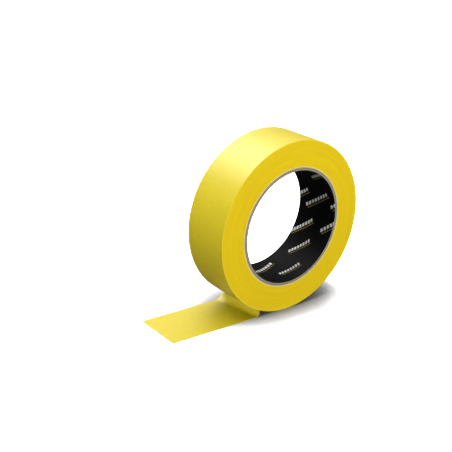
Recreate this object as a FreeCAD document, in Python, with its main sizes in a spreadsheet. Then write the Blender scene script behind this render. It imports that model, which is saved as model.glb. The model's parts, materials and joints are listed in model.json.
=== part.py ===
import FreeCAD, Part
import math
import os
import Sketcher

# A roll of crepe-paper masking tape standing on its edge, with the free end of
# the tape peeled off near the bottom and laid out on the table.
#
# Frame: millimetres, +Z up.  The origin is the middle of the core's bore, the
# bore's axis is Y, and the free end of the tape runs out towards -X.
#
# The tape lies on the roll as a spiral.  Seen from -Y it starts at the peel line
# (peel_angle to the left of the lowest point) at the full roll_radius and goes
# clockwise; after one turn it is one tape thickness nearer the axis.  Each turn
# is two half-turns of constant radius, whose centres stand a quarter of a tape
# thickness either side of the axis on the line through the peel line, so that
# the radius drops by half a thickness in each half-turn.

doc = FreeCAD.newDocument("masking_tape_roll")

# ---------------------------------------------------------------- dimensions
sheet = doc.addObject("Spreadsheet::Sheet", "Sizes")
SIZES = [
    ("bore_radius", 38.1, "inside of the lining: a three-inch core"),
    ("liner_thickness", 0.15, "printed paper lining of the core"),
    ("ply_thickness", 0.5, "one chipboard ply of the core"),
    ("outer_ply_thickness", 0.35, "pale outer ply that the tape sticks to"),
    ("roll_width", 34.5, "width of the tape and of the core"),
    ("roll_radius", 58.4, "outside of the tape at the peel line"),
    ("backing_thickness", 0.12, "creped paper"),
    ("adhesive_thickness", 0.04, "rubber adhesive coat"),
    ("peel_angle", 24.5, "peel line, degrees left of the lowest point"),
    ("peel_clearance", 0.05, "between the roll and the tail at the peel line"),
    ("tail_reach", 91.5, "cut end of the tail, from the axis towards -X"),
    ("curl_reach", 66.0, "line where the end of the tail lifts"),
    ("curl_clearance", 0.06, "between the two lengths of the tail"),
    ("standing_flat", 0.02, "how deep the roll's own weight flattens it where it stands, 3 mm wide"),
    ("seam_gap", 0.3, "gap between the edges of a wound ply"),
    ("seam_rise", 27.0, "how far a ply's seam climbs round the core from the back side to the front"),
]
for row, (alias, value, note) in enumerate(SIZES, start=1):
    sheet.set("A%d" % row, alias)
    sheet.set("B%d" % row, str(value))
    sheet.set("C%d" % row, note)
    sheet.setAlias("B%d" % row, alias)
# sizes that follow from the ones above
FOLLOW = [
    ("tape_thickness", "=backing_thickness + adhesive_thickness"),
    ("core_radius", "=bore_radius + liner_thickness + 4 * ply_thickness + outer_ply_thickness"),
    ("quarter", "=tape_thickness / 4"),
    ("shift_across", "=-quarter * sin(peel_angle * 1deg)"),
    ("shift_down", "=quarter * cos(peel_angle * 1deg)"),
    ("floor_drop", "=roll_radius - 3 * quarter - shift_down - standing_flat"),
    ("hinge_radius", "=roll_radius + peel_clearance"),
    ("bend_radius", "=(floor_drop - tape_thickness - hinge_radius * cos(peel_angle * 1deg)) / (1 + cos(peel_angle * 1deg))"),
    ("bend_across", "=-(hinge_radius + bend_radius) * sin(peel_angle * 1deg)"),
    ("bend_down", "=(hinge_radius + bend_radius) * cos(peel_angle * 1deg)"),
    ("bend_trim", "=peel_clearance / bend_radius * 180 / pi"),
]
for row, (alias, formula) in enumerate(FOLLOW, start=len(SIZES) + 1):
    sheet.set("A%d" % row, alias)
    sheet.set("B%d" % row, formula)
    sheet.setAlias("B%d" % row, alias)
doc.recompute()

PIECES = []


def number(alias):
    value = sheet.get(alias)
    return float(getattr(value, "Value", value))


def bind(thing, prop, expression):
    """Bind a property to the sheet; names in braces are cells of the sheet."""
    thing.setExpression(prop, expression.replace("{", "Sizes.").replace("}", ""))


def piece(thing, label):
    thing.Label = label
    PIECES.append(thing)
    return thing


# ------------------------------------------------------------------ the core
def origin_plane(body, role):
    for feature in body.Origin.OriginFeatures:
        if feature.Role == role:
            return feature
    raise RuntimeError("no plane " + role)


def core_ply(label, inner, outer, clock):
    """One spirally wound layer of the core: a thin tube, as wide as the roll, with
    the slanting gap where the edges of its strip meet.  The gap is cut through
    the wall on +X and the whole ply is then turned by clock degrees about Y, so
    that the seams of the layers don't lie over one another."""
    body = doc.addObject("PartDesign::Body", label)
    ring = body.newObject("Sketcher::SketchObject", label + "_ring")
    ring.AttachmentSupport = [(origin_plane(body, "XZ_Plane"), "")]
    ring.MapMode = "FlatFace"
    for radius, expression in ((40.0, inner), (41.0, outer)):
        which = ring.addGeometry(
            Part.Circle(FreeCAD.Vector(0, 0, 0), FreeCAD.Vector(0, 0, 1), radius), False
        )
        ring.addConstraint(Sketcher.Constraint("Coincident", which, 3, -1, 1))
        index = ring.addConstraint(Sketcher.Constraint("Radius", which, radius))
        name = "inner_radius" if which == 0 else "outer_radius"
        ring.renameConstraint(index, name)
        bind(ring, "Constraints." + name, expression)
    pad = body.newObject("PartDesign::Pad", label + "_tube")
    pad.Profile = ring
    pad.SideType = "Symmetric"
    bind(pad, "Length", "{roll_width}")
    doc.recompute()
    whole = pad.Shape.Volume

    slit = body.newObject("Sketcher::SketchObject", label + "_slit")
    slit.AttachmentSupport = [(origin_plane(body, "YZ_Plane"), "")]
    slit.MapMode = "FlatFace"
    # corners: along the width (sketch x) and round the wall (sketch y); the slit
    # runs a little past both ends of the tube
    corners = [
        (-1, "{seam_rise} * 0.55 - {seam_gap} * 0.635"),
        (1, "-{seam_rise} * 0.55 - {seam_gap} * 0.635"),
        (1, "-{seam_rise} * 0.55 + {seam_gap} * 0.635"),
        (-1, "{seam_rise} * 0.55 + {seam_gap} * 0.635"),
    ]
    guess = [(-19, 14.6), (19, -15.1), (19, -14.6), (-19, 15.1)]
    for k in range(4):
        slit.addGeometry(
            Part.LineSegment(
                FreeCAD.Vector(*guess[k], 0), FreeCAD.Vector(*guess[(k + 1) % 4], 0)
            ),
            False,
        )
    for k in range(4):
        slit.addConstraint(Sketcher.Constraint("Coincident", k, 2, (k + 1) % 4, 1))
    for k, (side, climb) in enumerate(corners):
        index = slit.addConstraint(
            Sketcher.Constraint("DistanceX", -1, 1, k, 1, guess[k][0])
        )
        slit.renameConstraint(index, "along_%d" % k)
        bind(slit, "Constraints.along_%d" % k, "%d * 0.55 * {roll_width}" % side)
        index = slit.addConstraint(
            Sketcher.Constraint("DistanceY", -1, 1, k, 1, guess[k][1])
        )
        slit.renameConstraint(index, "climb_%d" % k)
        bind(slit, "Constraints.climb_%d" % k, climb)
    seam = body.newObject("PartDesign::Pocket", label + "_seam")
    seam.Profile = slit
    bind(seam, "Length", "{roll_radius}")
    seam.Reversed = True
    doc.recompute()
    if not seam.Shape.Volume < whole:
        raise RuntimeError(label + ": the seam cut nothing")
    if not seam.Shape.CenterOfGravity.x < 0:
        raise RuntimeError(label + ": the seam is on the wrong side")
    body.Placement = FreeCAD.Placement(
        FreeCAD.Vector(0, 0, 0), FreeCAD.Rotation(FreeCAD.Vector(0, 1, 0), clock)
    )
    return piece(body, label)


core_ply(
    "core_liner", "{bore_radius}", "{bore_radius} + {liner_thickness}", 214.0
)
for n in range(4):
    core_ply(
        "core_ply_%d" % (n + 1),
        "{bore_radius} + {liner_thickness} + %d * {ply_thickness}" % n,
        "{bore_radius} + {liner_thickness} + %d * {ply_thickness}" % (n + 1),
        40.0 + 83.0 * n,
    )
core_ply(
    "core_outer_ply",
    "{core_radius} - {outer_ply_thickness}",
    "{core_radius}",
    300.0,
)


# ------------------------------------------------------------------ the tape
# These shapes are drawn in a plane that looks along the roll's axis: x is the
# roll's X, y points down, and z runs along the axis from one side of the tape.
# Angles about z grow clockwise as seen from -Y.
def stand_up(thing):
    """Turn a finished tape shape into the roll's frame."""
    thing.Placement = FreeCAD.Placement(
        FreeCAD.Vector(0, -number("roll_width") / 2, 0),
        FreeCAD.Rotation(FreeCAD.Vector(1, 0, 0), -90),
    )
    bind(thing, "Placement.Base.y", "-{roll_width} / 2")
    return thing


def cylinder(name, radius, across, down, start=None, sweep=None):
    solid = doc.addObject("Part::Cylinder", name)
    bind(solid, "Radius", radius)
    bind(solid, "Height", "{roll_width}")
    bind(solid, "Placement.Base.x", across)
    bind(solid, "Placement.Base.y", down)
    if start is not None:
        bind(solid, "Placement.Rotation.Angle", start)
        bind(solid, "Angle", sweep)
    return solid


def block(name, left, right, top, bottom):
    solid = doc.addObject("Part::Box", name)
    bind(solid, "Length", "(%s) - (%s)" % (right, left))
    bind(solid, "Width", "(%s) - (%s)" % (bottom, top))
    bind(solid, "Height", "{roll_width}")
    bind(solid, "Placement.Base.x", left)
    bind(solid, "Placement.Base.y", top)
    return solid


def cut(name, base, tool):
    result = doc.addObject("Part::Cut", name)
    result.Base = base
    result.Tool = tool
    return result


def fuse(name, shapes):
    result = doc.addObject("Part::MultiFuse", name)
    result.Shapes = shapes
    result.Refine = True
    return result


HALVES = (
    ("first", "{shift_across}", "{shift_down}", "{quarter}", "{peel_angle} + 90"),
    ("second", "-{shift_across}", "-{shift_down}", "3 * {quarter}", "{peel_angle} + 270"),
)


def turn(label, outside, inside, stands=False):
    """One turn of one layer of the tape, outside and inside being how deep its
    two faces lie under the surface of the tape.  The layer that stands on the
    table is flat there."""
    halves = []
    for half, across, down, drop, start in HALVES:
        outer = cylinder(
            "%s_%s_outside" % (label, half),
            "{roll_radius} - %s - (%s)" % (drop, outside),
            across, down, start, "180",
        )
        inner = cylinder(
            "%s_%s_inside" % (label, half),
            "{roll_radius} - %s - (%s)" % (drop, inside),
            across, down,
        )
        halves.append(cut("%s_%s_half" % (label, half), outer, inner))
    if not stands:
        return piece(stand_up(fuse(label, halves)), label)
    table = block(label + "_table", "-5", "5", "{floor_drop}", "{floor_drop} + 1")
    return piece(stand_up(cut(label, fuse(label + "_round", halves), table)), label)


turn("outer_turn_backing", "0", "{backing_thickness}", stands=True)
turn("outer_turn_adhesive", "{backing_thickness}", "{tape_thickness}")

# all the turns under the outer one, wound tight
halves = [
    cylinder(
        "wound_%s_half" % half,
        "{roll_radius} - %s - {tape_thickness}" % drop,
        across, down, start, "180",
    )
    for half, across, down, drop, start in HALVES
]
wound = cut(
    "wound_tape",
    fuse("wound_disc", halves),
    cylinder("wound_hole", "{core_radius}", "0", "0"),
)
piece(stand_up(wound), "wound_tape")


# The tail leaves the roll at the peel line along its tangent, bends back under
# the roll and lies flat, adhesive down, level with the roll's lowest point.
def tail_root(label, above, below):
    bend_outer = cylinder(
        label + "_bend_outside", "{bend_radius} + (%s)" % below,
        "{bend_across}", "{bend_down}",
        "{peel_angle} - 90 + {bend_trim}", "180 - {peel_angle} - {bend_trim}",
    )
    bend_inner = cylinder(
        label + "_bend_inside", "{bend_radius} + (%s)" % above,
        "{bend_across}", "{bend_down}",
    )
    bend = cut(label + "_bend", bend_outer, bend_inner)
    flat = block(
        label + "_flat",
        "-{curl_reach} + {curl_clearance} / 2", "{bend_across}",
        "{bend_down} + {bend_radius} + (%s)" % above,
        "{bend_down} + {bend_radius} + (%s)" % below,
    )
    return piece(stand_up(fuse(label, [bend, flat])), label)


def tail_tip(label, above, below):
    flat = block(
        label,
        "-{tail_reach}", "-{curl_reach} - {curl_clearance} / 2",
        "{bend_down} + {bend_radius} + (%s)" % above,
        "{bend_down} + {bend_radius} + (%s)" % below,
    )
    # a box is drawn straight in the roll's frame: depth becomes -Z
    flat.setExpression("Placement.Base.y", None)
    flat.Placement = FreeCAD.Placement(
        FreeCAD.Vector(0, 0, 0), FreeCAD.Rotation(FreeCAD.Vector(1, 0, 0), -90)
    )
    bind(flat, "Placement.Base.x", "-{tail_reach}")
    bind(flat, "Placement.Base.y", "-{roll_width} / 2")
    bind(flat, "Placement.Base.z", "-({bend_down} + {bend_radius} + (%s))" % above)
    return piece(flat, label)


tail_root("tail_root_backing", "0", "{backing_thickness}")
tail_root("tail_root_adhesive", "{backing_thickness}", "{tape_thickness}")
tail_tip("tail_tip_backing", "0", "{backing_thickness}")
tail_tip("tail_tip_adhesive", "{backing_thickness}", "{tape_thickness}")

# ------------------------------------------------------------------- checking
doc.recompute()
for thing in doc.Objects:
    if "Invalid" in thing.State or "Error" in thing.State:
        raise RuntimeError("%s failed: %s" % (thing.Label, thing.State))
os.makedirs("parts", exist_ok=True)
for old in os.listdir("parts"):
    if old.endswith(".step"):
        os.remove(os.path.join("parts", old))
for thing in PIECES:
    shape = thing.Shape
    if shape.isNull() or not shape.isValid() or len(shape.Solids) != 1:
        raise RuntimeError("%s: bad shape" % thing.Label)
    box = shape.BoundBox
    print(
        "%-20s %9.1f mm3  x %7.2f %7.2f  y %7.2f %7.2f  z %7.2f %7.2f"
        % (thing.Label, shape.Volume, box.XMin, box.XMax, box.YMin, box.YMax, box.ZMin, box.ZMax)
    )
for alias in ("tape_thickness", "core_radius", "floor_drop", "hinge_radius",
              "bend_radius", "bend_across", "bend_down"):
    print("%-16s %.4f" % (alias, number(alias)))
a = math.radians(number("peel_angle"))
print("peel hinge  x %.4f  z %.4f" % (-number("hinge_radius") * math.sin(a), -number("hinge_radius") * math.cos(a)))
print("curl hinge  x %.4f  z %.4f" % (-number("curl_reach"), -(number("floor_drop") - number("tape_thickness"))))
for thing in PIECES:
    thing.Shape.exportStep("parts/%s.step" % thing.Label)
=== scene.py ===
import json
import math

import bpy
import numpy as np
from mathutils import Matrix, Vector


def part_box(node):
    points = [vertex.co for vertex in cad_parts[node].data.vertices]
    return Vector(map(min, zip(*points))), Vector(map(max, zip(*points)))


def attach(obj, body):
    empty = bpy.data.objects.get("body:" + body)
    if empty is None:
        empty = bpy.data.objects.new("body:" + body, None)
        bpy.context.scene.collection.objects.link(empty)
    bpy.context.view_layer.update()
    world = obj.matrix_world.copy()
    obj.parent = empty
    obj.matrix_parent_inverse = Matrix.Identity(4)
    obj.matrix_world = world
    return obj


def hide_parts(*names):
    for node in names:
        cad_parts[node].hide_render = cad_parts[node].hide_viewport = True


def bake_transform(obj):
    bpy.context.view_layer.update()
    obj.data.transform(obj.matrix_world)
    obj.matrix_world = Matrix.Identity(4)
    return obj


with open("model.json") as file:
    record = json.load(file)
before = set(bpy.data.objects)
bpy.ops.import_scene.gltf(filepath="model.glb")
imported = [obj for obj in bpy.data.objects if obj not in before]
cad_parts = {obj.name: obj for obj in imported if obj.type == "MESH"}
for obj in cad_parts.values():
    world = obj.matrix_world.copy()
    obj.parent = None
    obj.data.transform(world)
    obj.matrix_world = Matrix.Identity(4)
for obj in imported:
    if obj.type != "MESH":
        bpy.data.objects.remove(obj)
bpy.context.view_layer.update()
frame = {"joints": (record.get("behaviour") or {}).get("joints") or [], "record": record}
record = frame["record"]

# ------------------------------------------------------------------ the frame
MM = 0.001
low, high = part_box("wound_tape")
WIDTH = (high.y - low.y) / MM
HALF = WIDTH / 2
BORE = next(m for m in record["mounts"] if m["name"] == "core_bore")["dims"]["r_mm"]
joint = {j["name"]: j for j in frame["joints"]}
PEEL = [v / MM for v in joint["tail_peel"]["pos_m"]]
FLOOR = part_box("tail_root_adhesive")[0].z / MM
TAIL_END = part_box("tail_tip_backing")[0].x / MM

BACKING, ADHESIVE = 0.12, 0.04  # the two layers of the tape
TAPE = BACKING + ADHESIVE
LINER, PLY, OUTER_PLY = 0.15, 0.5, 0.35
CORE = BORE + LINER + 4 * PLY + OUTER_PLY
GAP = 0.05
ROLL = math.hypot(PEEL[0], PEEL[2]) - GAP  # outside of the tape at the peel line
PHI = math.atan2(-PEEL[0], -PEEL[2])  # peel line, left of the lowest point
QUARTER = TAPE / 4
BEND = ((-FLOOR) - TAPE - (ROLL + GAP) * math.cos(PHI)) / (1 + math.cos(PHI))
BEND_X = -(ROLL + GAP + BEND) * math.sin(PHI)
SEAM_RISE = 27.0
SEAM_GAP = 0.3


def spiral(turn):
    """Distance from the axis to the tape's outer face, turn radians clockwise (seen
    from -Y) past the peel line, on the outermost turn."""
    turn = np.asarray(turn, float)
    first = QUARTER * np.cos(turn) + np.sqrt(
        (ROLL - QUARTER) ** 2 - (QUARTER * np.sin(turn)) ** 2
    )
    second = -QUARTER * np.cos(turn) + np.sqrt(
        (ROLL - 3 * QUARTER) ** 2 - (QUARTER * np.sin(turn)) ** 2
    )
    return np.where(turn <= math.pi, first, second)


def direction(turn):
    """Unit vector (x, z) that many radians clockwise past the peel line."""
    a = -math.pi / 2 - PHI - np.asarray(turn, float)
    return np.cos(a), np.sin(a)


# ----------------------------------------------------------------- small tools
rng = np.random.default_rng(7)


def smooth_noise(n, step, periodic=False, octaves=1, seed=0):
    """n values of one-dimensional noise, features about step samples long."""
    r = np.random.default_rng(seed)
    out = np.zeros(n)
    gain = 1.0
    total = 0.0
    for _ in range(octaves):
        m = max(4, int(round(n / step)))
        knots = r.uniform(-1, 1, m + 3)
        if periodic:
            knots[m:] = knots[: 3]
        x = np.arange(n) / n * m
        i = x.astype(int)
        f = x - i
        p0, p1, p2, p3 = (knots[(i + k - 1) % m if periodic else np.clip(i + k, 0, m + 2)] for k in range(4))
        out += gain * (
            p1 + 0.5 * f * (p2 - p0 + f * (2 * p0 - 5 * p1 + 4 * p2 - p3 + f * (3 * (p1 - p2) + p3 - p0)))
        )
        total += gain
        gain *= 0.5
        step = step / 2
    return out / total


def noise_grid(nu, nv, cu, cv, seed=0, wrap_u=False):
    """nu by nv samples of two-dimensional noise with cu by cv cells."""
    r = np.random.default_rng(seed)
    g = r.uniform(-1, 1, (cu + 3, cv + 3))
    if wrap_u:
        g[cu : cu + 3] = g[:3]
    u = np.linspace(0, cu, nu, endpoint=True)
    v = np.linspace(0, cv, nv, endpoint=True)
    iu = np.minimum(u.astype(int), cu - 1)
    iv = np.minimum(v.astype(int), cv - 1)
    fu = (u - iu)[:, None]
    fv = (v - iv)[None, :]

    def w(f):
        return (
            (1 - f) ** 3 / 6,
            (3 * f**3 - 6 * f**2 + 4) / 6,
            (-3 * f**3 + 3 * f**2 + 3 * f + 1) / 6,
            f**3 / 6,
        )

    wu, wv = w(fu), w(fv)
    out = np.zeros((nu, nv))
    for a in range(4):
        for b in range(4):
            ia = (iu + a) % cu if wrap_u else iu + a
            ib = np.minimum(iv + b, cv + 2)
            out += wu[a] * wv[b] * g[np.ix_(ia % (cu + 3), ib)]
    return out * 1.9


def build(name, points, quads, uv=None, materials=(), slots=None, smooth=True):
    """A mesh object from arrays in millimetres.  quads index points; uv is one pair
    for each point, or for each corner."""
    mesh = bpy.data.meshes.new(name)
    points = np.asarray(points, np.float64) * MM
    quads = np.asarray(quads, np.int32)
    mesh.vertices.add(len(points))
    mesh.vertices.foreach_set("co", points.astype(np.float32).ravel())
    n = len(quads)
    k = quads.shape[1]
    mesh.loops.add(n * k)
    mesh.loops.foreach_set("vertex_index", quads.ravel())
    mesh.polygons.add(n)
    mesh.polygons.foreach_set("loop_start", np.arange(0, n * k, k, dtype=np.int32))
    mesh.polygons.foreach_set("loop_total", np.full(n, k, np.int32))
    if slots is not None:
        mesh.polygons.foreach_set("material_index", np.asarray(slots, np.int32))
    mesh.update(calc_edges=True)
    if uv is not None:
        layer = mesh.uv_layers.new(name="UVMap")
        uv = np.asarray(uv, np.float32)
        if len(uv) == len(points):
            uv = uv[quads.ravel()]
        layer.data.foreach_set("uv", uv.ravel())
    for m in materials:
        mesh.materials.append(m)
    mesh.polygons.foreach_set("use_smooth", np.full(n, smooth, bool))
    mesh.validate()
    obj = bpy.data.objects.new(name, mesh)
    bpy.context.scene.collection.objects.link(obj)
    return obj


def grid_quads(nu, nv, start=0, wrap=False, flip=False):
    """Quads of an nu by nv grid of points numbered row by row from start."""
    i = np.arange(nu if wrap else nu - 1)
    j = np.arange(nv - 1)
    a, b = np.meshgrid(i, j, indexing="ij")
    a2 = (a + 1) % nu
    q = np.stack([a * nv + b, a2 * nv + b, a2 * nv + b + 1, a * nv + b + 1], -1)
    q = q.reshape(-1, 4) + start
    return q[:, ::-1] if flip else q


class Nodes:
    """A few lines for wiring shader nodes."""

    def __init__(self, name):
        self.material = bpy.data.materials.new(name)
        self.material.use_nodes = True
        self.tree = self.material.node_tree
        self.tree.nodes.clear()
        self.out = self.tree.nodes.new("ShaderNodeOutputMaterial")
        self.bsdf = self.tree.nodes.new("ShaderNodeBsdfPrincipled")
        self.tree.links.new(self.bsdf.outputs[0], self.out.inputs[0])

    def node(self, kind, values=None, **settings):
        n = self.tree.nodes.new(kind)
        for k, v in settings.items():
            setattr(n, k, v)
        for k, v in (values or {}).items():
            if isinstance(v, bpy.types.NodeSocket):
                self.tree.links.new(v, n.inputs[k])
            else:
                n.inputs[k].default_value = v
        return n

    def math(self, operation, a, b=0.0, c=0.0, clamp=False):
        n = self.node("ShaderNodeMath", {0: a, 1: b, 2: c}, operation=operation, use_clamp=clamp)
        return n.outputs[0]

    def remap(self, value, a, b, c, d):
        n = self.node(
            "ShaderNodeMapRange", {"Value": value, "From Min": a, "From Max": b, "To Min": c, "To Max": d}
        )
        return n.outputs[0]

    def mix(self, share, a, b, blend="MIX"):
        n = self.node("ShaderNodeMix", data_type="RGBA", blend_type=blend)
        for key, v in ((0, share), (6, a), (7, b)):
            if isinstance(v, bpy.types.NodeSocket):
                self.tree.links.new(v, n.inputs[key])
            else:
                n.inputs[key].default_value = v if key == 0 else (*v[:3], 1.0)
        return n.outputs[2]

    def uv(self):
        return self.node("ShaderNodeUVMap", uv_map="UVMap").outputs[0]

    def scaled(self, vector, x, y, z=1.0):
        return self.node(
            "ShaderNodeVectorMath", {0: vector, 1: (x, y, z)}, operation="MULTIPLY"
        ).outputs[0]

    def noise(self, vector, scale, detail=2.0, rough=0.5, dimensions="3D"):
        n = self.node(
            "ShaderNodeTexNoise",
            {"Vector": vector, "Scale": scale, "Detail": detail, "Roughness": rough},
            noise_dimensions=dimensions,
        )
        return n.outputs[0]

    def bump(self, height, distance, strength=1.0, normal=None):
        values = {"Height": height, "Distance": distance, "Strength": strength}
        if normal is not None:
            values["Normal"] = normal
        return self.node("ShaderNodeBump", values).outputs[0]

    def set(self, **values):
        for k, v in values.items():
            key = k.replace("_", " ")
            if isinstance(v, bpy.types.NodeSocket):
                self.tree.links.new(v, self.bsdf.inputs[key])
            else:
                if isinstance(v, tuple) and len(v) == 3 and key != "Subsurface Radius":
                    v = (*v, 1.0)
                self.bsdf.inputs[key].default_value = v
        return self.material


# ------------------------------------------------------------------- materials
# UV maps are in millimetres over 100: the tape's runs along the strip (u) and
# across it (v), a side face's runs round the axis (u) and out from it (v).
CREPE = (0.87, 0.70, 0.008)
CREPE_DEEP = (0.77, 0.59, 0.003)
CREPE_PALE = (0.91, 0.765, 0.022)
EDGE = (0.83, 0.590, 0.005)


def crepe_paper():
    n = Nodes("crepe_paper_yellow")
    uv = n.uv()
    # creases run across the tape: stretched a long way in v, short in u
    creases = n.noise(n.scaled(uv, 100, 14), 2.6, 3.0, 0.55)
    fine = n.noise(n.scaled(uv, 100, 40), 8.0, 3.0, 0.6)
    fibres = n.noise(n.scaled(uv, 100, 100), 16.0, 4.0, 0.65)
    clouds = n.noise(n.scaled(uv, 100, 100), 0.09, 3.0, 0.5)
    tone = n.remap(creases, 0.3, 0.7, 0.0, 1.0)
    colour = n.mix(tone, CREPE_DEEP, CREPE)
    colour = n.mix(n.remap(fine, 0.35, 0.75, 0.0, 0.30), colour, CREPE_PALE)
    colour = n.mix(n.remap(clouds, 0.35, 0.65, 0.0, 0.16), colour, CREPE_PALE)
    colour = n.mix(n.remap(fibres, 0.55, 0.8, 0.0, 0.16), colour, (0.93, 0.80, 0.09))
    normal = n.bump(creases, 0.00006, 0.8)
    normal = n.bump(fine, 0.00003, 0.7, normal)
    normal = n.bump(fibres, 0.000012, 0.6, normal)
    return n.set(
        Base_Color=colour,
        Roughness=n.remap(fine, 0.3, 0.7, 0.42, 0.52),
        Normal=normal,
        Specular_IOR_Level=0.65,
    )


def wound_edge():
    """The slit side of the roll: edges of paper and adhesive, seen end on."""
    n = Nodes("wound_tape_edge")
    uv = n.uv()
    sep = n.node("ShaderNodeSeparateXYZ", {0: uv})
    radius = n.math("MULTIPLY", sep.outputs[1], 100.0)  # millimetres out from the axis
    around = sep.outputs[0]
    ring = n.node("ShaderNodeCombineXYZ", {0: n.math("MULTIPLY", around, 4.0), 1: radius})
    broad = n.noise(ring.outputs[0], 0.42, 4.0, 0.6)
    rings = n.noise(n.scaled(ring.outputs[0], 0.6, 1.0), 2.3, 3.0, 0.6)
    grain = n.noise(n.scaled(uv, 100, 100), 5.5, 4.0, 0.6)
    specks = n.noise(n.scaled(uv, 100, 300), 3.0, 2.0, 0.5)
    colour = n.mix(n.remap(broad, 0.3, 0.7, 0.0, 1.0), (0.70, 0.47, 0.006), EDGE)
    colour = n.mix(n.remap(rings, 0.35, 0.72, 0.0, 0.55), colour, (0.87, 0.655, 0.014))
    mottle = n.noise(n.scaled(uv, 100, 100), 0.8, 4.0, 0.6)
    colour = n.mix(n.remap(mottle, 0.46, 0.66, 0.0, 0.60), colour, (0.76, 0.49, 0.004))
    colour = n.mix(n.remap(grain, 0.45, 0.72, 0.0, 0.50), colour, (0.89, 0.70, 0.022))
    # painted highlight: the face is paler along its outermost and innermost turns, where the edges catch the
    # light
    painted_rim_highlight = n.math("MAXIMUM", n.remap(radius, 57.4, 58.1, 0.0, 0.75), n.remap(radius, 41.4, 40.9, 0.0, 0.55))
    colour = n.mix(painted_rim_highlight, colour, (0.93, 0.77, 0.05))
    colour = n.mix(n.remap(specks, 0.58, 0.78, 0.0, 0.30), colour, (0.60, 0.38, 0.004))
    normal = n.bump(rings, 0.00006, 0.5)
    normal = n.bump(grain, 0.00002, 0.5, normal)
    return n.set(
        Base_Color=colour,
        Roughness=n.remap(grain, 0.3, 0.7, 0.55, 0.72),
        Normal=normal,
        Specular_IOR_Level=0.10,
    )


def adhesive_face():
    n = Nodes("adhesive_coat")
    uv = n.uv()
    flow = n.noise(n.scaled(uv, 30, 100), 1.4, 4.0, 0.55)
    orange = n.noise(n.scaled(uv, 100, 100), 3.0, 3.0, 0.5)
    creases = n.noise(n.scaled(uv, 100, 14), 2.6, 3.0, 0.55)
    colour = n.mix(n.remap(flow, 0.3, 0.7, 0.0, 1.0), (0.66, 0.47, 0.03), (0.80, 0.62, 0.07))
    colour = n.mix(n.remap(creases, 0.4, 0.7, 0.0, 0.25), colour, (0.55, 0.37, 0.015))
    normal = n.bump(orange, 0.00003, 0.6)
    normal = n.bump(creases, 0.00003, 0.5, normal)
    return n.set(
        Base_Color=colour,
        Roughness=n.remap(orange, 0.3, 0.7, 0.20, 0.34),
        Normal=normal,
        Specular_IOR_Level=0.5,
    )


def board(name, light, dark, fibre):
    """Paperboard: recycled fibre, with specks; the cut edge shows layers."""
    n = Nodes(name)
    uv = n.uv()
    flow = n.noise(n.scaled(uv, 100, 400), 0.9, 5.0, 0.6)
    speck = n.noise(n.scaled(uv, 100, 130), 4.5, 3.0, 0.6)
    fuzz = n.noise(n.scaled(uv, 100, 100), 11.0, 3.0, 0.6)
    colour = n.mix(n.remap(flow, 0.3, 0.7, 0.0, 1.0), dark, light)
    colour = n.mix(n.remap(speck, 0.56, 0.74, 0.0, 0.5), colour, fibre)
    colour = n.mix(n.remap(fuzz, 0.6, 0.8, 0.0, 0.35), colour, tuple(min(1, c * 1.5) for c in light))
    normal = n.bump(speck, 0.00005, 0.6)
    normal = n.bump(fuzz, 0.00003, 0.5, normal)
    return n.set(
        Base_Color=colour,
        Roughness=n.remap(flow, 0.3, 0.7, 0.74, 0.88),
        Normal=normal,
        Specular_IOR_Level=0.3,
    )


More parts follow.
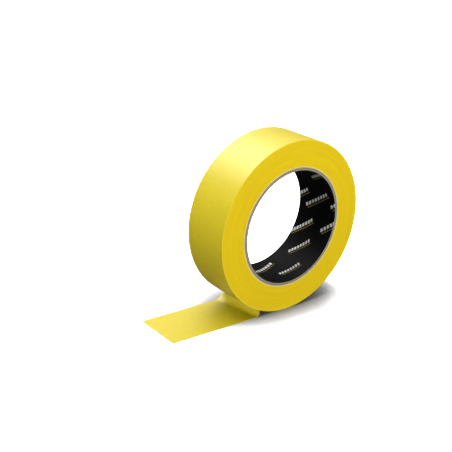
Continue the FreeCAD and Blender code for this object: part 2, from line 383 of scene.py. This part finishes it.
def lining():
    """Black satin paper, printed with plain slanted blocks over a dotted rule.  The
    Print map is in millimetres over 100 from the middle of the nearest mark."""
    n = Nodes("core_lining_print")
    uv = n.uv()
    sep = n.node("ShaderNodeSeparateXYZ", {0: n.node("ShaderNodeUVMap", uv_map="Print").outputs[0]})
    a = n.math("MULTIPLY", sep.outputs[0], 100.0)
    b = n.math("MULTIPLY", sep.outputs[1], 100.0)
    # eight blocks, 2.75 mm apart, 2.0 mm thick and 2.2 mm tall, leaning forward
    lean = n.math("ADD", n.math("SUBTRACT", a, n.math("MULTIPLY", b, 0.30)), 11.0)
    block = n.math("ABSOLUTE", n.math("SUBTRACT", n.math("FLOORED_MODULO", lean, 2.75), 1.375))
    within = n.math("LESS_THAN", n.math("ABSOLUTE", n.math("SUBTRACT", lean, 11.0)), 11.0)
    thick = n.math("SUBTRACT", 0.98, block)
    tall = n.math("SUBTRACT", 1.12, n.math("ABSOLUTE", b))
    white = n.math(
        "MULTIPLY", within, n.math("GREATER_THAN", n.math("MINIMUM", n.math("MINIMUM", thick, tall),
            n.math("MULTIPLY", n.math("SUBTRACT", n.math("ADD", thick, tall), 0.22), 0.75)), 0.0)
    )
    dot = n.math("SUBTRACT", n.math("FLOORED_MODULO", n.math("ADD", a, 10.4), 1.5), 0.75)
    dh = n.math("ADD", b, 2.45)
    dd = n.math("ADD", n.math("MULTIPLY", dot, dot), n.math("MULTIPLY", dh, dh))
    rule = n.math("LESS_THAN", n.math("ABSOLUTE", n.math("SUBTRACT", a, 0.45)), 10.7)
    gold = n.math("MULTIPLY", n.math("LESS_THAN", dd, 0.17), rule)
    wear = n.noise(n.scaled(uv, 100, 100), 6.0, 4.0, 0.6)
    fibre = n.noise(n.scaled(uv, 60, 180), 2.2, 4.0, 0.6)
    base = n.mix(n.remap(fibre, 0.3, 0.7, 0.0, 1.0), (0.0030, 0.0030, 0.0032), (0.0062, 0.0062, 0.0064))
    base = n.mix(n.remap(wear, 0.64, 0.80, 0.0, 0.30), base, (0.016, 0.016, 0.016))
    ink = n.mix(n.remap(wear, 0.35, 0.7, 0.0, 1.0), (0.92, 0.92, 0.90), (0.80, 0.80, 0.78))
    dots = n.mix(n.remap(wear, 0.35, 0.7, 0.0, 1.0), (0.52, 0.40, 0.09), (0.38, 0.28, 0.05))
    colour = n.mix(white, base, ink)
    colour = n.mix(gold, colour, dots)
    normal = n.bump(fibre, 0.00003, 0.35)
    normal = n.bump(wear, 0.000008, 0.5, normal)
    return n.set(
        Base_Color=colour,
        Roughness=n.remap(fibre, 0.3, 0.7, 0.50, 0.60),
        Normal=normal,
        Specular_IOR_Level=0.03,
    )


crepe = crepe_paper()
edge = wound_edge()
glue = adhesive_face()
grey_board = board("chipboard_grey", (0.255, 0.226, 0.155), (0.195, 0.17, 0.113), (0.22, 0.18, 0.13))
grey_board_2 = board("chipboard_brown", (0.42, 0.37, 0.29), (0.31, 0.265, 0.20), (0.18, 0.145, 0.10))
pale_board = board("kraft_pale", (0.66, 0.62, 0.52), (0.68, 0.63, 0.52), (0.46, 0.40, 0.30))
print_black = lining()


# ------------------------------------------------------------------- the core
def core_layer(name, node, inner, outer, clock, inside, body_material, steps=288, across=36, seed=1):
    """One wound layer of the core: a tube split along its slanting seam, with
    softly rounded, slightly uneven cut edges."""
    seam_shift = SEAM_GAP / math.cos(math.radians(38)) / 2
    thick = outer - inner
    # profile across the width, outside then inside, so each column is a closed loop
    round_off = min(0.10, thick * 0.35)
    ys = np.linspace(-HALF + round_off, HALF - round_off, across)
    loop = []  # (radius, y, v) of one closed section
    for y in ys:
        loop.append((inner, y))
    loop.append((inner + round_off * 0.3, HALF - round_off * 0.3))
    loop.append((inner + round_off, HALF))
    for k in (0.35, 0.65):
        loop.append((inner + thick * k, HALF))
    loop.append((outer - round_off, HALF))
    loop.append((outer - round_off * 0.3, HALF - round_off * 0.3))
    for y in ys[::-1]:
        loop.append((outer, y))
    loop.append((outer - round_off * 0.3, -HALF + round_off * 0.3))
    loop.append((outer - round_off, -HALF))
    for k in (0.65, 0.35):
        loop.append((inner + thick * k, -HALF))
    loop.append((inner + round_off, -HALF))
    loop.append((inner + round_off * 0.3, -HALF + round_off * 0.3))
    loop = np.array(loop)
    m = len(loop)
    share = np.linspace(0, 1, steps)
    mid = (inner + outer) / 2
    rough = smooth_noise(steps, 5, octaves=3, seed=seed) * 0.5 + 0.5
    rough2 = smooth_noise(steps, 4, octaves=3, seed=seed + 50) * 0.5 + 0.5
    pts = np.zeros((steps, m, 3))
    uvs = np.zeros((steps, m, 2))
    r = loop[:, 0][None, :]
    y0 = loop[:, 1][None, :]
    at_end = np.clip((np.abs(y0) - (HALF - 0.25)) / 0.25, 0, 1)
    dip = 0.045 * np.where(y0 > 0, rough[:, None], rough2[:, None]) * at_end
    y = y0 - np.sign(y0) * dip
    seam = np.arcsin(-SEAM_RISE * y / WIDTH / mid) - math.radians(clock)
    start = seam + seam_shift / mid
    angle = start + share[:, None] * (2 * math.pi - 2 * seam_shift / mid)
    pts[..., 0] = r * np.cos(angle)
    pts[..., 1] = y
    pts[..., 2] = r * np.sin(angle)
    uvs[..., 0] = angle * mid / 100
    uvs[..., 1] = (y0 + np.where(np.abs(y0) >= HALF - round_off, (r - inner) * np.sign(y0), 0)) / 100
    quads = []
    i, j = np.meshgrid(np.arange(steps - 1), np.arange(m), indexing="ij")
    j2 = (j + 1) % m
    q = np.stack([i * m + j, i * m + j2, (i + 1) * m + j2, (i + 1) * m + j], -1).reshape(-1, 4)
    quads.append(q)
    slots = np.where((j < across - 1).reshape(-1), 0, 1)
    points = pts.reshape(-1, 3)
    uv = uvs.reshape(-1, 2)
    # close the two seam faces with quads between the inner and outer rows
    ends = []
    for base, flip in ((0, False), ((steps - 1) * m, True)):
        inner_row = [base + k for k in range(across + 1)]
        outer_row = [base + m - 1 - 5 - k for k in range(across + 1)]
        # pair inner y[k] with outer y[k]
        ins = [base + k for k in range(across)]
        outs = [base + across + 6 + (across - 1 - k) for k in range(across)]
        for k in range(across - 1):
            f = [ins[k], ins[k + 1], outs[k + 1], outs[k]]
            ends.append(f if flip else f[::-1])
        top = [base + across + k for k in range(6)]
        f1 = [ins[-1], top[0], top[5], outs[-1]]
        f2 = [top[0], top[1], top[4], top[5]]
        f3 = [top[1], top[2], top[3], top[4]]
        bottom = [base + 2 * across + 6 + k for k in range(6)]
        g1 = [outs[0], bottom[0], bottom[5], ins[0]]
        g2 = [bottom[0], bottom[1], bottom[4], bottom[5]]
        g3 = [bottom[1], bottom[2], bottom[3], bottom[4]]
        for f in (f1, f2, f3, g1, g2, g3):
            ends.append(f if flip else f[::-1])
    quads.append(np.array(ends))
    slots = np.concatenate([slots, np.ones(len(ends), int)])
    obj = build(
        name, points, np.concatenate(quads), uv, (inside, body_material), slots
    )
    obj.data.update()
    mark_sharp(obj, 50)
    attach(obj, "roll")
    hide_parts(node)
    return obj


def mark_sharp(obj, degrees):
    """Smooth shading, except across edges sharper than this."""
    import bmesh

    bm = bmesh.new()
    bm.from_mesh(obj.data)
    bmesh.ops.recalc_face_normals(bm, faces=bm.faces)
    limit = math.radians(degrees)
    for e in bm.edges:
        if len(e.link_faces) == 2:
            e.smooth = e.calc_face_angle(0.0) < limit
    bm.to_mesh(obj.data)
    bm.free()


lining_paper = core_layer(
    "core_lining_paper", "core_liner", BORE, BORE + LINER, 214.0, print_black, print_black,
    steps=480, across=36, seed=3,
)
# middle of each printed mark: degrees round the bore from +X towards +Z, millimetres
# along the axis, how far it leans off the way round, and its length
MARKS = [
    (52.6, -11.9, 54, 26), (8.9, 18.9, 56, 26.7), (11.9, -0.1, 56, 26.7), (20.0, -23.7, 55, 26.7),
    (-22.0, 9.9, 49, 21), (-7.9, -16.4, 50, 24), (-42.9, 2.9, 37, 17.6),
    (-72.5, -6.3, 7, 17.6), (-93.0, 5.9, -19, 24), (-137.0, -3.0, 20, 20),
    (-152.0, 15.5, 30, 22), (-168.0, -9.5, 44, 23), (176.0, 13.5, 50, 23),
    (148.0, -6.5, 52, 24), (143.0, 16.0, 52, 24), (113.0, 4.0, 54, 25), (118.0, -19.5, 54, 25),
    (78.0, 12.5, 55, 26), (86.0, -8.5, 55, 26),
]


def lay_print(obj):
    mesh = obj.data
    count = len(mesh.loops)
    co = np.empty(len(mesh.vertices) * 3, np.float32)
    mesh.vertices.foreach_get("co", co)
    co = co.reshape(-1, 3) / MM
    loop_vertex = np.empty(count, np.int32)
    mesh.loops.foreach_get("vertex_index", loop_vertex)
    corner = co[loop_vertex]
    quads = corner.reshape(-1, 4, 3)
    middle = quads.mean(1)
    turn = np.arctan2(middle[:, 2], middle[:, 0])
    inner = np.hypot(quads[..., 0], quads[..., 2]).max(1) < BORE + 0.02
    marks = np.array(MARKS, float)
    at = np.radians(marks[:, 0])

    def apart(angle, k):
        return (angle - at[k] + math.pi) % (2 * math.pi) - math.pi

    lean = np.radians(marks[:, 2])
    every = np.arange(len(marks))
    du = apart(turn[:, None], every[None, :]) * BORE
    dv = middle[:, 1][:, None] - marks[None, :, 1]
    along = du * np.cos(lean) - dv * np.sin(lean)
    off = du * np.sin(lean) + dv * np.cos(lean)
    # a mark claims what is near its line, not only what is near its middle
    past = np.maximum(np.abs(along) - marks[None, :, 3] / 2, 0)
    near = (past**2 + off**2).argmin(1)
    k = np.repeat(near, 4)
    angle = np.arctan2(corner[:, 2], corner[:, 0])
    du = apart(angle, k) * BORE
    dv = corner[:, 1] - marks[k, 1]
    along = (du * np.cos(lean[k]) - dv * np.sin(lean[k])) * 22.0 / marks[k, 3]
    off = du * np.sin(lean[k]) + dv * np.cos(lean[k])
    out = np.stack([along, off], -1) / 100
    out[~np.repeat(inner, 4)] = (5.0, 5.0)
    layer = mesh.uv_layers.new(name="Print")
    layer.data.foreach_set("uv", out.astype(np.float32).ravel())
    mesh.uv_layers["UVMap"].active_render = True
    mesh.uv_layers.active = mesh.uv_layers["UVMap"]


lay_print(lining_paper)
for k in range(4):
    core_layer(
        "core_board_%d" % (k + 1), "core_ply_%d" % (k + 1),
        BORE + LINER + k * PLY, BORE + LINER + (k + 1) * PLY,
        40.0 + 83.0 * k, grey_board, grey_board if k % 2 == 0 else grey_board_2,
        steps=288, across=6, seed=10 + k,
    )
core_layer("core_outer_paper", "core_outer_ply", CORE - OUTER_PLY, CORE, 300.0, pale_board, pale_board, steps=288, across=6, seed=20)


# -------------------------------------------------------------- the wound tape
TURNS = int((ROLL - TAPE - CORE) / TAPE) - 1
AROUND = 144


def wound():
    """The turns under the outer one.  Each side face is a true spiral of edges,
    three points to a turn, with whole groups of turns standing a little in or out."""
    around = np.linspace(0, 2 * math.pi, AROUND + 1)
    outer = spiral(around)
    group = smooth_noise(TURNS + 1, 9, octaves=3, seed=31)
    group_b = smooth_noise(TURNS + 1, 9, octaves=3, seed=32)
    single = np.random.default_rng(5).uniform(0, 1, TURNS + 1)
    swell = noise_grid(AROUND + 1, TURNS + 1, 9, 14, seed=8, wrap_u=True)
    swell[-1] = swell[0]
    pts, uvs, quads = [], [], []
    start = 0
    sides = {}
    columns = 3 * TURNS + 2
    for side, grp in ((-1, group), (1, group_b)):
        r = np.zeros((AROUND + 1, columns))
        depth = np.zeros((AROUND + 1, columns))
        for k in range(TURNS):
            # a little further in by one whole turn over one time round
            share = around / (2 * math.pi)
            here = grp[k] * (1 - share) + grp[k + 1] * share
            one = single[k] * (1 - share) + single[k + 1] * share
            base = 0.030 + 0.022 * here + 0.010 * one + 0.010 * swell[:, k]
            top = outer - (k + 1) * TAPE
            r[:, 3 * k] = top - (0.012 if k else 0.06)
            r[:, 3 * k + 1] = top - 0.085
            r[:, 3 * k + 2] = top - 0.135
            depth[:, 3 * k] = base + 0.003
            depth[:, 3 * k + 1] = base
            depth[:, 3 * k + 2] = base + 0.012
        r[:, -2] = outer - (TURNS + 1) * TAPE
        r[:, -1] = CORE + 0.004
        depth[:, -2] = depth[:, -3]
        depth[:, -1] = 0.06
        x, z = direction(around)
        p = np.stack(
            [
                r * x[:, None],
                side * (HALF - np.clip(depth, 0.002, 0.2)),
                r * z[:, None],
            ],
            -1,
        )
        pts.append(p.reshape(-1, 3))
        uvs.append(
            np.stack([np.broadcast_to(around[:, None] * 49 / 100, r.shape), r / 100], -1).reshape(-1, 2)
        )
        quads.append(grid_quads(AROUND + 1, columns, start))
        sides[side] = start
        start += (AROUND + 1) * columns
    # the outside and the bore of the pack, joining the two side faces
    for column in (0, columns - 1):
        a = sides[-1] + np.arange(AROUND + 1) * columns + column
        b = sides[1] + np.arange(AROUND + 1) * columns + column
        quads.append(np.stack([a[:-1], a[1:], b[1:], b[:-1]], -1))
    obj = build("wound_turns", np.concatenate(pts), np.concatenate(quads), np.concatenate(uvs), (edge,))
    mark_sharp(obj, 60)
    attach(obj, "roll")
    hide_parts("wound_tape")
    return obj


wound()


# ----------------------------------------------- creped strip: outer turn, tail
def crepe_relief(n_along, n_across, length, seed):
    """Depth of the creases below the strip's outer face, 0 to 1."""
    a = noise_grid(n_along, n_across, max(4, int(length / 0.62)), 9, seed=seed)
    b = noise_grid(n_along, n_across, max(4, int(length / 1.3)), 5, seed=seed + 1)
    c = noise_grid(n_along, n_across, max(4, int(length / 7.0)), 3, seed=seed + 2)
    h = 0.5 + 0.30 * a + 0.22 * b + 0.14 * c
    return np.clip(h, 0, 1)


def strip(name, path, normal, length_at, seed, crepe_depth, across=31, relief=None):
    """A closed strip of tape: path and normal are n by across by (x, z) arrays of the
    outer face and of the way out of it.  The face is creped, the back is smooth."""
    n = len(path)
    ys = np.linspace(-HALF, HALF, across)
    ys = ys - np.sign(ys) * 0.0
    if relief is None:
        relief = crepe_relief(n, across, float(length_at[-1] - length_at[0]), seed)
    side = np.clip((HALF - np.abs(ys)) / 0.6, 0, 1)[None, :]
    depth = crepe_depth * relief + 0.02 * (1 - side)
    front = path - normal * depth[..., None]
    front[..., 1] = np.maximum(front[..., 1], FLOOR)
    back = path - normal * TAPE
    glue_line = path - normal * BACKING
    uneven = 0.02 * (smooth_noise(n, 4, octaves=2, seed=seed + 7) * 0.5 + 0.5)
    uneven_b = 0.02 * (smooth_noise(n, 4, octaves=2, seed=seed + 8) * 0.5 + 0.5)
    y = np.broadcast_to(ys[None, :], (n, across)).copy()
    y[:, 0] += uneven
    y[:, -1] -= uneven_b

    def pack(xz, yy):
        return np.stack([xz[..., 0], yy, xz[..., 1]], -1)

    pts = [pack(front, y).reshape(-1, 3), pack(back, y).reshape(-1, 3)]
    u = np.broadcast_to(length_at[:, None], (n, across)) / 100
    v = np.broadcast_to(ys[None, :], (n, across)) / 100
    uv = [np.stack([u, v], -1).reshape(-1, 2)] * 2
    quads = [grid_quads(n, across, 0), grid_quads(n, across, n * across, flip=True)]
    slots = [np.zeros(len(quads[0]), int), np.full(len(quads[1]), 1)]
    off = n * across
    i = np.arange(n - 1)
    for j in (0, across - 1):
        a, b = i * across + j, (i + 1) * across + j
        q = np.stack([a, b, b + off, a + off], -1)
        quads.append(q if j else q[:, ::-1])
        slots.append(np.full(len(q), 2))
    k = np.arange(across - 1)
    for row in (0, n - 1):
        a, b = row * across + k, row * across + k + 1
        q = np.stack([a, b, b + off, a + off], -1)
        quads.append(q[:, ::-1] if row else q)
        slots.append(np.full(len(q), 2))
    obj = build(
        name, np.concatenate(pts), np.concatenate(quads), np.concatenate(uv),
        (crepe, glue, edge), np.concatenate(slots),
    )
    mark_sharp(obj, 65)
    return obj


ACROSS = 31
CREPE_DEPTH = 0.045

YS = np.linspace(-HALF, HALF, ACROSS)
BACKWARD = (YS + HALF) / WIDTH  # 0 at the front side, 1 at the back

# the tape lets go of the roll a little sooner at the back than at the front
LET_GO = np.radians(-0.4 + 1.4 * BACKWARD**1.5)
UNDER = math.radians(3.5)  # of the next turn, seen where the tail has let go

steps = 1500
share = np.linspace(0, 1, steps)
turn = LET_GO[None, :] + share[:, None] * (2 * math.pi + UNDER - LET_GO[None, :])
low_turn = np.minimum(np.maximum(turn, 0), 2 * math.pi)
dist = np.where(turn <= 2 * math.pi, spiral(low_turn), spiral(np.maximum(turn - 2 * math.pi, 0)) - TAPE)
dx, dz = direction(turn)
out = np.stack([dx, dz], -1)
face = out * dist[..., None]
length = np.linspace(0, 2 * math.pi, steps) * ROLL
outer_relief = crepe_relief(steps, ACROSS, float(length[-1]), 40)
outer = strip("outer_turn", face, out, length, 40, CREPE_DEPTH, ACROSS, outer_relief)
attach(outer, "roll")
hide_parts("outer_turn_backing", "outer_turn_adhesive")

# The tail's outer face.  At the front side it doubles back in a round fold; towards
# the back side the fold is sharp, and the tape slopes down to the table further left.
SPLIT_X = -61.0
TABLE_FACE = FLOOR + TAPE
FOLD = 70
px, pz = direction(LET_GO)
leave = np.stack([px, pz], -1) * (ROLL + 0.004)
onward = np.stack([-pz, px], -1)  # along the roll, away from the wound part
slack = BACKWARD**1.3
reach = 1.8 + (0.5 - 1.8) * slack
run_in = 2.8 + (5.4 - 2.8) * slack
land = leave[:, 0] - (1.8 + 6.4 * slack)
knots = np.stack(
    [
        leave,
        leave + onward * reach[:, None],
        np.stack([land + run_in, np.full(ACROSS, TABLE_FACE)], -1),
        np.stack([land, np.full(ACROSS, TABLE_FACE)], -1),
    ]
)
w = np.linspace(0, 1, FOLD)[:, None, None]
fold = (
    (1 - w) ** 3 * knots[0] + 3 * (1 - w) ** 2 * w * knots[1]
    + 3 * (1 - w) * w**2 * knots[2] + w**3 * knots[3]
)


def tail_piece(name, path, seed, nodes):
    step = np.diff(path, axis=0)
    along = np.concatenate([np.zeros((1, ACROSS)), np.cumsum(np.hypot(step[..., 0], step[..., 1]), 0)])
    tangent = np.gradient(path, axis=0)
    tangent /= np.linalg.norm(tangent, axis=-1, keepdims=True)
    out = np.stack([tangent[..., 1], -tangent[..., 0]], -1)  # to the right of the way it runs
    obj = strip(name, path, out, -along.mean(1), seed, CREPE_DEPTH, ACROSS)
    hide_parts(*nodes)
    return obj, float(along[-1].mean())


flat_share = np.linspace(0, 1, 170)[1:, None]
xs = land[None, :] + flat_share * (SPLIT_X - land[None, :])
flat = np.stack([xs, np.full(xs.shape, TABLE_FACE)], -1)
tail_a, long_a = tail_piece(
    "tail_at_the_roll", np.concatenate([fold, flat]), 60, ("tail_root_backing", "tail_root_adhesive")
)
xs = np.linspace(SPLIT_X, TAIL_END, 140)[:, None] * np.ones((1, ACROSS))
tail_b, long_b = tail_piece(
    "tail_cut_end", np.stack([xs, np.full(xs.shape, TABLE_FACE)], -1), 70,
    ("tail_tip_backing", "tail_tip_adhesive"),
)
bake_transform(tail_a)
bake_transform(tail_b)

# ------------------------------------------------------------------- the stage
n = Nodes("table_white")
# painted shadow: an ambient-occlusion mask darkens the table's colour and glow close to the roll and the
# tail
near = n.node("ShaderNodeAmbientOcclusion", {"Distance": 0.028}, samples=8)
white = n.math("POWER", near.outputs["AO"], 5.0)
n.set(
    Base_Color=n.mix(white, (0.22, 0.22, 0.23), (0.55, 0.55, 0.55)), Roughness=0.9, Specular_IOR_Level=0.0,
    Emission_Color=(1.0, 1.0, 1.0), Emission_Strength=n.math("MULTIPLY", white, 2.1),
)
floor = build(
    "table", [(-4000, -4000, FLOOR), (4000, -4000, FLOOR), (4000, 4000, FLOOR), (-4000, 4000, FLOOR)],
    [(0, 1, 2, 3)], materials=(n.material,), smooth=False,
)
floor.visible_diffuse = False
floor.visible_glossy = False

# a white sweep all round, far off
RIM = 64
rise = [(3500, 0), (3800, 60), (4000, 260), (4080, 600), (4080, 4000), (2500, 5200), (10, 5600)]
points = [
    (r * math.cos(2 * math.pi * k / RIM), r * math.sin(2 * math.pi * k / RIM), FLOOR + h + 0.5)
    for r, h in rise
    for k in range(RIM)
]
faces = [
    (i * RIM + k, i * RIM + (k + 1) % RIM, (i + 1) * RIM + (k + 1) % RIM, (i + 1) * RIM + k)
    for i in range(len(rise) - 1)
    for k in range(RIM)
]
n = Nodes("sweep_white")
n.set(
    Base_Color=(0.9, 0.9, 0.9), Roughness=1.0, Specular_IOR_Level=0.0,
    Emission_Color=(1.0, 1.0, 1.0), Emission_Strength=1.15,
)
sweep = build("sweep", points, faces, materials=(n.material,))
sweep.visible_diffuse = False
sweep.visible_glossy = False
sweep.visible_shadow = False

world = bpy.data.worlds.new("studio")
bpy.context.scene.world = world
world.use_nodes = True
wt = world.node_tree
sky = wt.nodes["Background"]
where = wt.nodes.new("ShaderNodeTexCoord")
split = wt.nodes.new("ShaderNodeSeparateXYZ")
ramp = wt.nodes.new("ShaderNodeMapRange")
wt.links.new(where.outputs["Generated"], split.inputs[0])
wt.links.new(split.outputs[2], ramp.inputs["Value"])
ramp.inputs["From Min"].default_value = -0.15
ramp.inputs["From Max"].default_value = 0.15
ramp.inputs["To Min"].default_value = 0.10
ramp.inputs["To Max"].default_value = 0.14
wt.links.new(ramp.outputs[0], sky.inputs[1])
sky.inputs[0].default_value = (1, 1, 1, 1)


def soft_light(name, toward, power, spread):
    """A softbox a long way off, in the direction toward, spread degrees across."""
    data = bpy.data.lights.new(name, "SUN")
    data.energy = power
    data.angle = math.radians(spread)
    obj = bpy.data.objects.new(name, data)
    toward = Vector(toward).normalized()
    obj.location = toward
    obj.rotation_euler = toward.to_track_quat("Z", "Y").to_euler()
    bpy.context.scene.collection.objects.link(obj)
    return obj


soft_light("softbox_top", (-0.21, 0.20, 0.95), 2.1, 52)
soft_light("softbox_right", (0.42, 0.42, 0.76), 0.80, 56)
soft_light("softbox_left", (-0.97, 0.02, 0.20), 0.80, 30)
soft_light("softbox_front", (-0.13, -0.99, 0.025), 3.55, 14)
back = soft_light("softbox_back", (0.22, 0.97, 0.08), 1.5, 30)
back.visible_glossy = False
# the strip throws no yellow light back into the nook under the roll
for name in ("outer_turn", "tail_at_the_roll", "tail_cut_end"):
    bpy.data.objects[name].visible_diffuse = False
# seen in the gloss of the paper only: a strip behind, over the roll
rim = soft_light("strip_behind", (-0.04, 0.72, 0.70), 2.0, 36)
rim.visible_diffuse = False

# ------------------------------------------------------------------ the camera
AZ, EL, TILT = math.radians(-39.92), math.radians(20.89), math.radians(3.92)
DIST, FOCAL = 0.57333, 869.4
AT = (275.18, 219.30)
back = Vector((math.sin(AZ) * math.cos(EL), -math.cos(AZ) * math.cos(EL), math.sin(EL)))
right = Vector((math.cos(AZ), math.sin(AZ), 0))
up = back.cross(right)
right2 = right * math.cos(TILT) + up * math.sin(TILT)
up2 = up * math.cos(TILT) - right * math.sin(TILT)
place = (
    back * DIST
    - right2 * ((AT[0] - 226) / FOCAL * DIST)
    + up2 * ((AT[1] - 226) / FOCAL * DIST)
)
cam_data = bpy.data.cameras.new("camera")
cam_data.sensor_width = 36.0
cam_data.lens = FOCAL / 452 * 36.0
cam_data.clip_start, cam_data.clip_end = 0.01, 30.0
cam = bpy.data.objects.new("camera", cam_data)
cam.matrix_world = Matrix(
    (
        (right2.x, up2.x, back.x, place.x),
        (right2.y, up2.y, back.y, place.y),
        (right2.z, up2.z, back.z, place.z),
        (0, 0, 0, 1),
    )
)
bpy.context.scene.collection.objects.link(cam)
bpy.context.scene.camera = cam

scene = bpy.context.scene
scene.view_settings.view_transform = "Standard"
scene.view_settings.look = "None"
scene.view_settings.exposure = 0.0
scene.view_settings.gamma = 1.0
